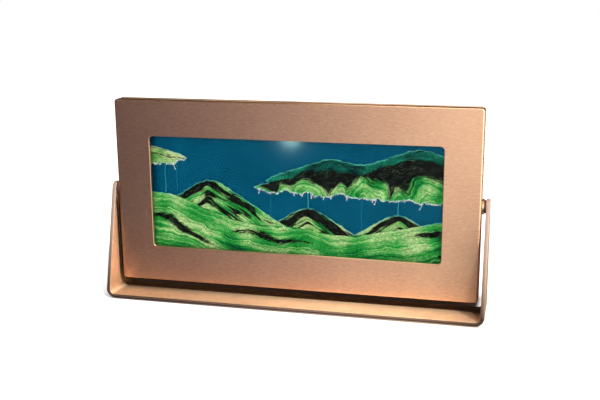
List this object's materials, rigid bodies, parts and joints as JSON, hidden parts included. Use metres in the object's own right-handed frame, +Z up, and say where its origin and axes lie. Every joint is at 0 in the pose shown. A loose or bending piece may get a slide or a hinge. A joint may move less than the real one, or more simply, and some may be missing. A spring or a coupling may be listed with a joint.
{
  "type": "moving sand picture",
  "caption": "Landscape sand picture in a brushed copper-coloured frame that turns end over end between the legs of a bent strip stand, so that its coloured sand falls anew.",
  "frame": {"origin": "centre of the plane that the foot pads rest on, below the middle of the pivot axis", "axes": "+X to the viewer's right along the pivot axis, -Y towards the viewer, +Z up"},
  "size_m": [0.396, 0.056, 0.2127],
  "materials": {
    "brushed_copper": "fine brush lines, copper-coloured anodising",
    "bright_copper": "polished, copper-coloured plating",
    "screw_copper": "copper-coloured plating",
    "screw_steel": "plain zinc",
    "insert_brass": "turned",
    "rail_plastic": "moulded",
    "gasket_foam": "closed-cell foam",
    "foot_rubber": "smooth rubber",
    "friction_fibre": "pressed fibre",
    "cell_spacer_plastic": "extruded",
    "pane_glass": "clear float glass",
    "dyed_liquid": "clear liquid with blue dye",
    "green_sand": "fine grains",
    "pale_sand": "fine grains",
    "black_sand": "fine grains"
  },
  "bodies": {
    "stand": {"stand_strip": "brushed_copper", "foot_pad_front_left": "foot_rubber", "foot_pad_front_right": "foot_rubber", "foot_pad_rear_left": "foot_rubber", "foot_pad_rear_right": "foot_rubber", "friction_washer_left": "friction_fibre", "friction_washer_right": "friction_fibre"},
    "panel": {"front_shell": "brushed_copper", "rear_shell": "brushed_copper", "front_gasket": "gasket_foam", "rear_gasket": "gasket_foam", "front_glass": "pane_glass", "rear_glass": "pane_glass", "cell_spacer": "cell_spacer_plastic", "fill_plug": "foot_rubber", "top_rail": "rail_plastic", "bottom_rail": "rail_plastic", "side_rail_left": "rail_plastic", "side_rail_right": "rail_plastic", "corner_screw_top_left": "screw_steel", "corner_screw_top_right": "screw_steel", "corner_screw_bottom_left": "screw_steel", "corner_screw_bottom_right": "screw_steel", "pivot_insert_left": "insert_brass", "pivot_insert_right": "insert_brass", "pivot_washer_left": "bright_copper", "pivot_washer_right": "bright_copper", "pivot_screw_left": "screw_copper", "pivot_screw_right": "screw_copper", "liquid": "dyed_liquid", "sand_bed": "green_sand", "sand_pile_left": "black_sand", "sand_pile_middle": "black_sand", "sand_pile_right": "pale_sand", "sand_shelf": "green_sand", "sand_shelf_cap": "black_sand", "sand_ledge": "pale_sand"}
  },
  "joints": [
    {"name": "panel_turn", "type": "hinge", "parent": "stand", "child": "panel", "pos_m": [0, 0, 0.1149], "axis": [1, 0, 0], "continuous": true}
  ]
}
